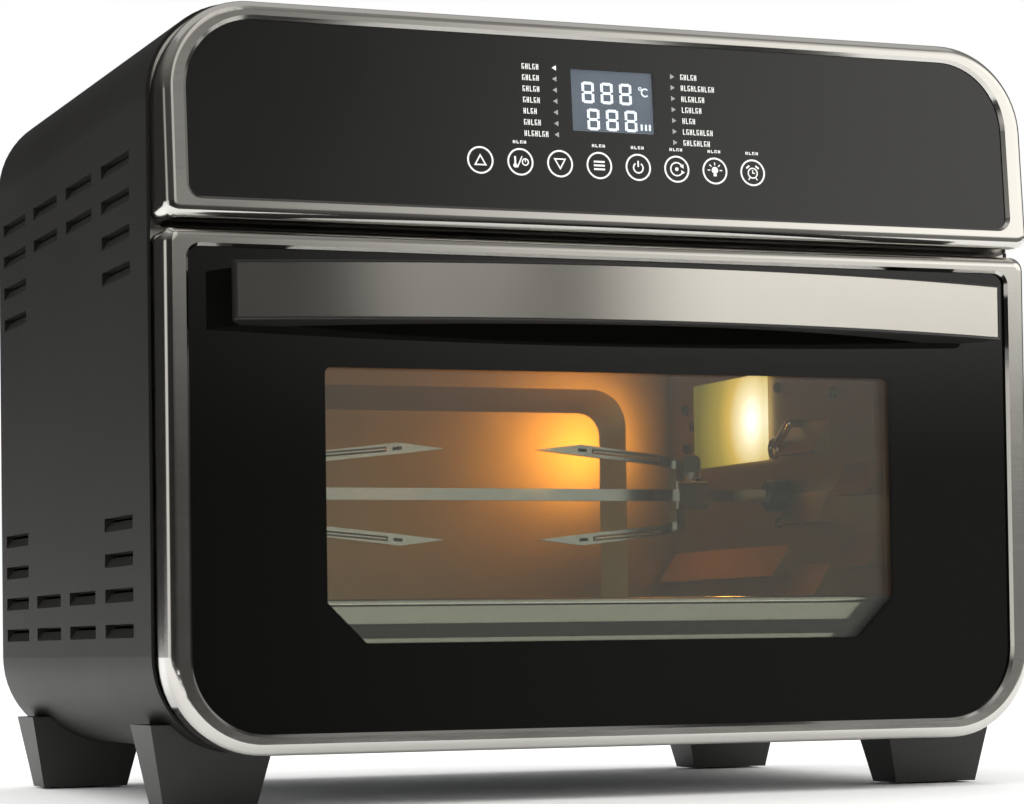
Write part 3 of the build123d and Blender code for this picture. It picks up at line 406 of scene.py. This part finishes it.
tone = add(tree, "ShaderNodeMix", {"Factor": clear.outputs["Value"], "A": linear("0a0a08"),
                                   "B": linear("f2f3ee")}, data_type="RGBA")
tree.links.new(tone.outputs["Result"], shader.inputs["Base Color"])
tree.links.new(clear.outputs["Value"], shader.inputs["Transmission Weight"])
tree.links.new(haze.outputs["Result"], shader.inputs["Roughness"])
print("door window", 2 * WINDOW_HALF, "by", round(WINDOW_HIGH - WINDOW_LOW, 1), "mm")

# %% Plain glass
clear_glass, tree, shader = new_finish("tempered_glass_clear", {
    "IOR": 1.5, "Transmission Weight": 1.0, "Base Color": linear("f0f2ec")})
place = add(tree, "ShaderNodeTexCoord")
smear = add(tree, "ShaderNodeTexNoise", {"Vector": place.outputs["Object"], "Scale": 12.0, "Detail": 4.0})
haze = add(tree, "ShaderNodeMapRange", {"Value": smear.outputs["Fac"], "To Min": 0.0, "To Max": 0.04})
tree.links.new(haze.outputs["Result"], shader.inputs["Roughness"])
print(clear_glass.name)

# %% Panel glass
DISPLAY_HALF, DISPLAY_LOW, DISPLAY_HIGH, DISPLAY_CORNER = 19.0, 279.2, 305.8, 0.6
panel_glass, tree, shader = new_finish("panel_glass_printed_black", {"IOR": 1.5})
place, edge = window_mask(tree, DISPLAY_HALF, DISPLAY_LOW, DISPLAY_HIGH, DISPLAY_CORNER)
clear = add(tree, "ShaderNodeMath", {0: edge.outputs["Value"], 1: 0.0}, operation="LESS_THAN")
smear = add(tree, "ShaderNodeTexNoise", {"Vector": place.outputs["Object"], "Scale": 15.0, "Detail": 4.0})
haze = add(tree, "ShaderNodeMapRange", {"Value": smear.outputs["Fac"], "To Min": 0.1, "To Max": 0.2})
tone = add(tree, "ShaderNodeMix", {"Factor": clear.outputs["Value"], "A": linear("0d0d0b"),
                                   "B": linear("e8ecee")}, data_type="RGBA")
tree.links.new(tone.outputs["Result"], shader.inputs["Base Color"])
tree.links.new(clear.outputs["Value"], shader.inputs["Transmission Weight"])
tree.links.new(haze.outputs["Result"], shader.inputs["Roughness"])
print("display window", 2 * DISPLAY_HALF, "by", round(DISPLAY_HIGH - DISPLAY_LOW, 1), "mm")

# %% [markdown]
# Lamp glass.
# The lamp sits behind a frosted plate in the right wall. Right in front of the bulb the plate burns
# out to white; away from it the glass is a yellow green. The glow falls off with the distance from
# the bulb, which a gradient on the plate's own place gives directly. The glow alone is too weak to
# light the cavity, so a small warm lamp that nobody sees does that from the same place.

# %% Lamp glass
BULB = (148 * MM, (FACE + 180) * MM, 173 * MM)
GLOW_REACH = 62 * MM
frosted, tree, shader = new_finish("lamp_glass_frosted", {"IOR": 1.5, "Roughness": 0.5,
                                                          "Emission Strength": 1.0})
place = add(tree, "ShaderNodeTexCoord")
from_bulb = add(tree, "ShaderNodeVectorMath", {0: place.outputs["Object"], 1: BULB}, operation="DISTANCE")
fading = add(tree, "ShaderNodeMath", {0: from_bulb.outputs["Value"], 1: GLOW_REACH}, operation="DIVIDE")
glow = add(tree, "ShaderNodeValToRGB", {"Fac": fading.outputs["Value"]})
stops = glow.color_ramp.elements
stops[0].position, stops[0].color = 0.0, tuple(2.2 * c for c in linear("fff8ec"))
stops[1].position, stops[1].color = 1.0, linear("6e6628")
for where, colour, gain in ((0.22, "fdeec4", 1.3), (0.42, "e6c45a", 1.0), (0.62, "c0ac48", 0.8)):
    stop = stops.new(where)
    stop.color = tuple(gain * c for c in linear(colour))
tree.links.new(glow.outputs["Color"], shader.inputs["Emission Color"])
tree.links.new(glow.outputs["Color"], shader.inputs["Base Color"])
print(frosted.name, "glow stops", len(stops))

# %% Cavity lamp
warm = bpy.data.lights.new("cavity_lamp", "AREA")
warm.shape, warm.size, warm.size_y = "RECTANGLE", 0.06, 0.036
warm.energy, warm.color = 0.21, linear("ffb048")[:3]
cavity_lamp = bpy.data.objects.new("cavity_lamp", warm)
bpy.context.scene.collection.objects.link(cavity_lamp)
cavity_lamp.location = Vector((145.5, FACE + 192, 174)) * MM
cavity_lamp.visible_camera = cavity_lamp.visible_transmission = False
cavity_lamp.rotation_euler = Vector((-1, 0.12, 0)).to_track_quat("-Z", "Y").to_euler()
print("cavity lamp", round(warm.energy, 2), "W")

# %% [markdown]
# Display module.
# The display is a light box with a diffusing film on its front, so it glows a cold, slightly uneven
# grey behind the smoked window of the panel glass.

# %% Display module
lit, tree, shader = new_finish("display_film_lit", {"Roughness": 0.4, "Base Color": linear("2c3440"),
                                                    "Emission Strength": 0.75})
place = add(tree, "ShaderNodeTexCoord")
grid = add(tree, "ShaderNodeTexNoise", {"Vector": place.outputs["Object"], "Scale": 70.0, "Detail": 2.0})
tone = add(tree, "ShaderNodeMix", {"Factor": grid.outputs["Fac"], "A": linear("56606c"),
                                   "B": linear("7c8796")}, data_type="RGBA")
tree.links.new(tone.outputs["Result"], shader.inputs["Emission Color"])
print(lit.name)

# %% [markdown]
# The engineering model's own pieces keep their shape; each one only gets its finish, from one table.

# %% Give the frame its finishes
FINISHES = {
    powder: ["outer_case", "rear_cover"],
    polished: ["front_frame", "control_bezel", "door_frame"],
    brushed: ["handle_face"],
    tint_and_painted_lamplight: ["cavity_back", "cavity_left_wall", "cavity_right_wall", "cavity_ceiling", "cavity_floor",
                 "fan_guard"],
    satin: ["crumb_tray", "door_inner_frame"],
    zinc: ["base_pan", "lamp_housing", "hinge_pins", "hinge_arm_left", "hinge_arm_right",
           "hinge_bracket_left", "hinge_bracket_right", "left_fork_screw", "right_fork_screw",
           "fan_shaft"],
    chrome: ["spit_shaft", "temperature_probe"],
    fork_steel: ["left_fork", "right_fork"],
    black_screw: ["foot_screws", "case_screws", "rear_screws", "wall_screws", "handle_screws",
                  "drive_socket"],
    sheath: ["upper_element", "lower_elements"],
    motor_can: ["rotisserie_motor", "fan_motor"],
    fan_sheet: ["hot_air_fan", "cooling_fan"],
    bronze: ["spit_bearing"],
    abs_black: ["control_housing", "board_spacers", "cord_gland", "foot_front_left", "foot_front_right",
                "foot_rear_left", "foot_rear_right", "handle_body"],
    rubber: ["foot_pads"],
    silicone: ["door_seal"],
    board_green: ["control_board", "power_board"],
    door_glass: ["door_glass"],
    panel_glass: ["control_glass"],
    clear_glass: ["door_inner_glass", "lamp_bulb"],
    frosted: ["lamp_glass"],
    lit: ["display_module"],
}
finished = set()
for material, names in FINISHES.items():
    for name in names:
        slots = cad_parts[name].data.materials
        slots.clear()
        slots.append(material)
        finished.add(name)
print("unfinished nodes", sorted(set(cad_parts) - finished))

# %% [markdown]
# Printed signs.
# The panel glass carries white signs: eight touch keys, each a ring with a small symbol, and two
# columns of labels beside the display. They are screen printed, so they are a thin film that lies on
# the glass, and their ink is given a painted glow so that it reads on the black glass. They are drawn
# flat on a sheet from circles and bars, all in one mesh in edit mode, and the sheet is then leaned
# onto the glass. Each label is a row of plain strokes and no words.

# %% Bars, discs and rings
def draw_bar(x, y, wide, high, turn=0.0):
    """A bar, sized and turned about its own middle while it is the only thing selected."""
    middle = (x * MM, y * MM, 0)
    bpy.ops.mesh.primitive_plane_add(size=MM, location=middle)
    bpy.ops.transform.resize(value=(wide, high, 1), center_override=middle)
    if turn:    # with no window this operator turns the other way, hence the minus
        bpy.ops.transform.rotate(value=radians(-turn), orient_axis="Z", center_override=middle)


def draw_disc(x, y, radius, corners=24, turn=0.0):
    """A disc, or with few corners a polygon whose first corner points up."""
    bpy.ops.mesh.primitive_circle_add(vertices=corners, radius=radius * MM, fill_type="NGON",
                                      location=(x * MM, y * MM, 0), rotation=(0, 0, radians(turn)))


def draw_ring(x, y, radius, stroke, gap=None, corners=40, turn=0.0):
    """A ring; gap is the middle and the half width, in degrees, of what is left out."""
    draw_disc(x, y, radius, corners, turn)
    bpy.ops.mesh.inset(thickness=stroke * MM)
    bpy.ops.mesh.delete(type="FACE")
    if gap is None:
        return
    sheet = bmesh.from_edit_mesh(bpy.context.object.data)
    for face in sheet.faces:
        spot = face.calc_center_median() / MM - Vector((x, y, 0))
        off = abs((degrees(atan2(spot.y, spot.x)) - gap[0] + 180) % 360 - 180)
        face.select = spot.length < radius and off < gap[1]
    bmesh.update_edit_mesh(bpy.context.object.data)
    bpy.ops.mesh.delete(type="FACE")


print("shapes", draw_bar.__name__, draw_disc.__name__, draw_ring.__name__)

# %% The sheet that is drawn on
PANEL_LOW, PANEL_TILT = 236.5, 4.5    # where the tilted panel starts, in mm, and its lean, in degrees
PANEL_PROUD = 4                       # how far the panel's foot stands in front of the case
INK_BEHIND = 2.1 - 0.02               # the glass lies 2.1 behind the bezel's face, and the ink on top of it
DIGITS_BEHIND = 6.1
FILM = 0.05


def start_sheet(name):
    """An empty sheet in edit mode, ready to be drawn on."""
    bpy.ops.object.select_all(action="DESELECT")
    bpy.ops.mesh.primitive_plane_add(size=1)
    sheet = bpy.context.object
    sheet.name = sheet.data.name = name
    bpy.ops.object.mode_set(mode="EDIT")
    bpy.ops.mesh.delete(type="VERT")
    return sheet


def lean_sheet(sheet, material, behind):
    """Gives the film its thickness and lays it this far behind the bezel's face."""
    bpy.ops.mesh.select_all(action="SELECT")
    bpy.ops.mesh.extrude_region_move(TRANSFORM_OT_translate={"value": (0, 0, -FILM * MM)})
    bpy.ops.mesh.select_all(action="SELECT")
    bpy.ops.mesh.normals_make_consistent(inside=False)
    bpy.ops.object.mode_set(mode="OBJECT")
    lean = radians(PANEL_TILT)
    forward, upward = FACE - PANEL_PROUD + behind * cos(lean), PANEL_LOW - behind * sin(lean)
    sheet.rotation_euler = (pi / 2 - lean, 0, 0)
    sheet.location = Vector((0, forward, upward)) * MM
    bpy.ops.object.transform_apply(location=True, rotation=True, scale=True)
    sheet.data.materials.append(material)
    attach(sheet, "oven")
    print(sheet.name, len(sheet.data.polygons), "faces")


def printed(name, dark, light, shine):
    """A thin printed or lit film that glows: real light on a lit part, painted glow on printed ink."""
    material, tree, shader = new_finish(name, {"Roughness": 0.5, "Emission Strength": shine})
    place = add(tree, "ShaderNodeTexCoord")
    mesh_dots = add(tree, "ShaderNodeTexNoise", {"Vector": place.outputs["Object"], "Scale": 900.0})
    tone = add(tree, "ShaderNodeMix", {"Factor": mesh_dots.outputs["Fac"], "A": linear(dark),
                                       "B": linear(light)}, data_type="RGBA")
    for socket in ("Base Color", "Emission Color"):
        tree.links.new(tone.outputs["Result"], shader.inputs[socket])
    return material


# The printed signs and labels glow with painted light; on the one lit arrow the glow stands for its
# backlight.
ink_painted_and_lit_glow = printed("ceramic_ink_with_painted_and_backlit_glow", "c9c9c4", "dededa", 0.5)
# The dim arrows are off; their faint glow is painted.
dim_ink_painted_glow = printed("ceramic_ink_backlit_off_painted_glow", "8a8a84", "9a9a94", 0.25)
digit_light = printed("display_segments_lit", "e8f0f8", "ffffff", 1.3)
print("films", ink_painted_and_lit_glow.name, dim_ink_painted_glow.name, digit_light.name)

# %% [markdown]
# Key symbols.
# Each key has a thin ring and one symbol inside it. A symbol is a handful of bars, discs and rings
# about the middle of its key, so each has its own short function that takes only that middle.

# %% Key symbols
KEY_ROW, KEY_PITCH, KEY_FIRST = 28.6, 17.8, -61.2
KEY_RADIUS, KEY_STROKE = 5.8, 0.75


def draw_up(x):
    """An open triangle that points up."""
    draw_ring(x, KEY_ROW - 0.6, 3.3, 0.6, corners=3)


def draw_heat_and_time(x):
    """A thermometer and a clock with a slanted stroke between them."""
    draw_bar(x - 2.3, KEY_ROW + 0.6, 0.8, 3.4)
    draw_disc(x - 2.3, KEY_ROW - 1.6, 0.95)
    draw_bar(x - 0.3, KEY_ROW, 0.5, 5.4, -25)
    draw_ring(x + 2.2, KEY_ROW, 1.6, 0.5, corners=20)
    draw_bar(x + 2.2, KEY_ROW + 0.5, 0.4, 1.0)


def draw_down(x):
    """An open triangle that points down."""
    draw_ring(x, KEY_ROW + 0.6, 3.3, 0.6, corners=3, turn=180)


def draw_menu(x):
    """Three level strokes."""
    for step in (-1.6, 0, 1.6):
        draw_bar(x, KEY_ROW + step, 5.0, 0.8)


def draw_power(x):
    """An open ring with a stroke through its gap."""
    draw_ring(x, KEY_ROW - 0.2, 2.5, 0.65, gap=(90, 38))
    draw_bar(x, KEY_ROW + 1.5, 0.7, 2.6)


def draw_turning_spit(x):
    """A dot in an open ring whose ends are arrow heads."""
    draw_ring(x, KEY_ROW, 3.1, 0.6, gap=(0, 28))
    draw_disc(x, KEY_ROW, 0.8)
    for side in (1, -1):
        draw_disc(x + 2.6, KEY_ROW + 1.3 * side, 1.1, 3, -30 * side)


def draw_lamp(x):
    """A bulb with its cap and five rays."""
    draw_disc(x, KEY_ROW + 0.3, 1.5)
    draw_bar(x, KEY_ROW - 1.8, 1.5, 1.0)
    for turn in range(-90, 91, 45):
        aside, above = sin(radians(turn)), cos(radians(turn))
        draw_bar(x + 2.8 * aside, KEY_ROW + 0.3 + 2.8 * above, 0.5, 1.2, -turn)


def draw_alarm(x):
    """A clock with two hands, two bells and two feet."""
    draw_ring(x, KEY_ROW - 0.2, 2.4, 0.55)
    draw_bar(x, KEY_ROW + 0.4, 0.45, 1.5)
    draw_bar(x + 0.5, KEY_ROW - 0.2, 1.2, 0.45)
    for side in (-1, 1):
        draw_bar(x + side * 2.2, KEY_ROW + 2.4, 1.9, 0.8, -38 * side)
        draw_bar(x + side * 1.7, KEY_ROW - 2.7, 0.5, 1.2, 35 * side)


symbols = (draw_up, draw_heat_and_time, draw_down, draw_menu, draw_power, draw_turning_spit, draw_lamp,
           draw_alarm)
print("symbols", len(symbols))

# %% Touch keys
keys = start_sheet("touch_key_signs")
centres = [KEY_FIRST + KEY_PITCH * number for number in range(len(symbols))]
for x, draw_symbol in zip(centres, symbols):
    draw_ring(x, KEY_ROW, KEY_RADIUS, KEY_STROKE, corners=56)
    draw_symbol(x)
lean_sheet(keys, ink_painted_and_lit_glow, INK_BEHIND)

# %% [markdown]
# Labels and arrows.
# Two columns of seven labels stand left and right of the display, each with an arrow that points at
# it, and six of the keys have a short word above them. One arrow is lit, the others are dim. A letter
# is an upright stroke with a cross stroke and in most cases a second upright, so a row has the weight
# and the rhythm of small print.

# %% Labels
LABEL_TOP, LABEL_PITCH = 69.4, 4.75
LEFT_TEXT, RIGHT_TEXT, RIGHT_DROP = -41.0, 31.5, 0.8
LEFT_COUNTS, RIGHT_COUNTS = (5, 5, 5, 5, 4, 5, 7), (5, 10, 7, 6, 4, 9, 8)    # letters in each label
LABEL_LETTER, KEY_LETTER = (1.1, 2.4), (1.1, 1.3)
PEN, UPRIGHT_IN, LETTER_SPACE = 0.36, 0.2, 0.5
WORD_KEYS, WORD_LEFT, WORD_RISE, WORD_LETTERS = (1, 3, 4, 5, 6, 7), 3.0, 8.4, 4
LEFT_ARROW, RIGHT_ARROW, ARROW = -26.2, 27.4, 1.3


def draw_word(x, y, letters, size):
    """A row of letter-like marks that starts at x: uprights with a cross stroke at one of three heights."""
    wide, high = size
    for number in range(letters):
        left = x + number * (wide + LETTER_SPACE)
        kind = (number * 5 + letters) % 3
        draw_bar(left + UPRIGHT_IN, y, PEN, high)
        draw_bar(left + wide / 2, y + (high / 2 - PEN / 2) * (kind - 1), wide, PEN)
        if kind:
            draw_bar(left + wide - UPRIGHT_IN, y - 0.25 * high * (kind - 1), PEN, high / kind)


words = start_sheet("panel_labels")
for row, (left, right) in enumerate(zip(LEFT_COUNTS, RIGHT_COUNTS)):
    height = LABEL_TOP - row * LABEL_PITCH
    draw_word(LEFT_TEXT, height, left, LABEL_LETTER)
    draw_word(RIGHT_TEXT, height - RIGHT_DROP, right, LABEL_LETTER)
draw_disc(LEFT_ARROW, LABEL_TOP, ARROW, 3, 90)
for key in WORD_KEYS:
    draw_word(centres[key] - WORD_LEFT, KEY_ROW + WORD_RISE, WORD_LETTERS, KEY_LETTER)
lean_sheet(words, ink_painted_and_lit_glow, INK_BEHIND)

# %% Dim arrows
# The dim arrows' backlight is off, and their faint glow is painted light.
arrows = start_sheet("panel_arrows")
for row in range(len(LEFT_COUNTS)):
    height = LABEL_TOP - row * LABEL_PITCH
    if row:    # the first one at the left is lit and stands with the labels
        draw_disc(LEFT_ARROW, height, ARROW, 3, 90)
    draw_disc(RIGHT_ARROW, height - RIGHT_DROP, ARROW, 3, -90)
lean_sheet(arrows, dim_ink_painted_glow, INK_BEHIND)

# %% [markdown]
# Display digits.
# Two rows of three digits, every one with all seven segments lit, shine through the smoked window. A
# segment is a bar; they lie just behind the glass, on the display module. A degree sign with a letter
# stands behind the upper row, and three short strokes behind the lower one.

# %% Digits
DIGIT_WIDE, DIGIT_HIGH, STROKE = 5.6, 9.2, 1.15
DIGIT_ROWS, DIGIT_PITCH = ((-10.4, 60.4), (-8.4, 48.9)), 8.6    # the first digit's middle in each row
LEVEL_LONG, UPRIGHT_LONG = DIGIT_WIDE - 1.9, DIGIT_HIGH / 2 - 1.0
segments = start_sheet("display_digits")
for first, middle in DIGIT_ROWS:
    for number in range(3):
        x = first + DIGIT_PITCH * number
        for step in (-1, 0, 1):
            draw_bar(x, middle + step * (DIGIT_HIGH - STROKE) / 2, LEVEL_LONG, STROKE)
        for side in (-1, 1):
            for half in (-1, 1):
                draw_bar(x + side * (DIGIT_WIDE - STROKE) / 2, middle + half * DIGIT_HIGH / 4, STROKE,
                         UPRIGHT_LONG)
draw_ring(13.6, 63.2, 0.8, 0.35, corners=16)
draw_ring(15.9, 61.6, 1.9, 0.6, gap=(0, 45))
for x in (13.6, 15.6, 17.4):
    draw_bar(x, 46.5, 0.9, 2.6)
lean_sheet(segments, digit_light, DIGITS_BEHIND)
